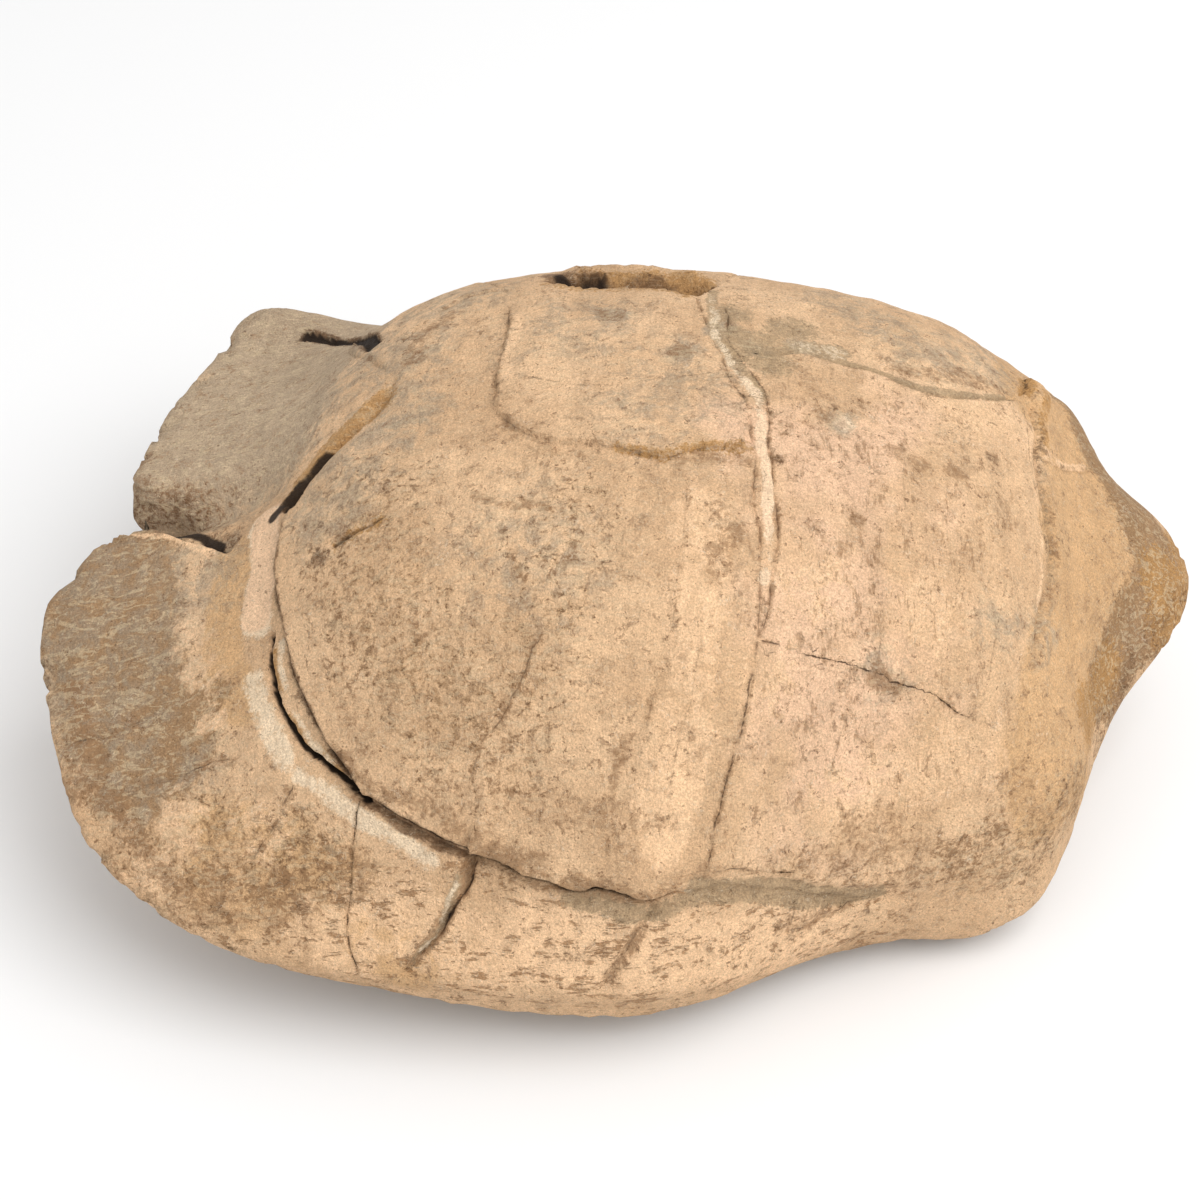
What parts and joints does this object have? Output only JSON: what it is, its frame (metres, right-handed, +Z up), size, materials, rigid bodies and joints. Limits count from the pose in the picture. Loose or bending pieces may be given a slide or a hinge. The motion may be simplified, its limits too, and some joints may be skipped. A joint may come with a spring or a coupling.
{
  "type": "fossil tortoise shell",
  "caption": "Stone-filled fossil tortoise shell: domed carapace with a flared, notched front rim and a pointed tail end, resting on its plastron.",
  "frame": {"origin": "under the middle of the shell's bounding box, on the surface that it rests on", "axes": "+X along the shell towards its tail end, +Y across it, +Z up through the top of the dome"},
  "size_m": [0.2987, 0.2407, 0.1197],
  "materials": {
    "fossil_bone": "dull, finely pitted buff bone with brown staining and pale cement in the cracks"
  },
  "bodies": {
    "root": {"tortoise_shell": "fossil_bone"}
  },
  "joints": []
}
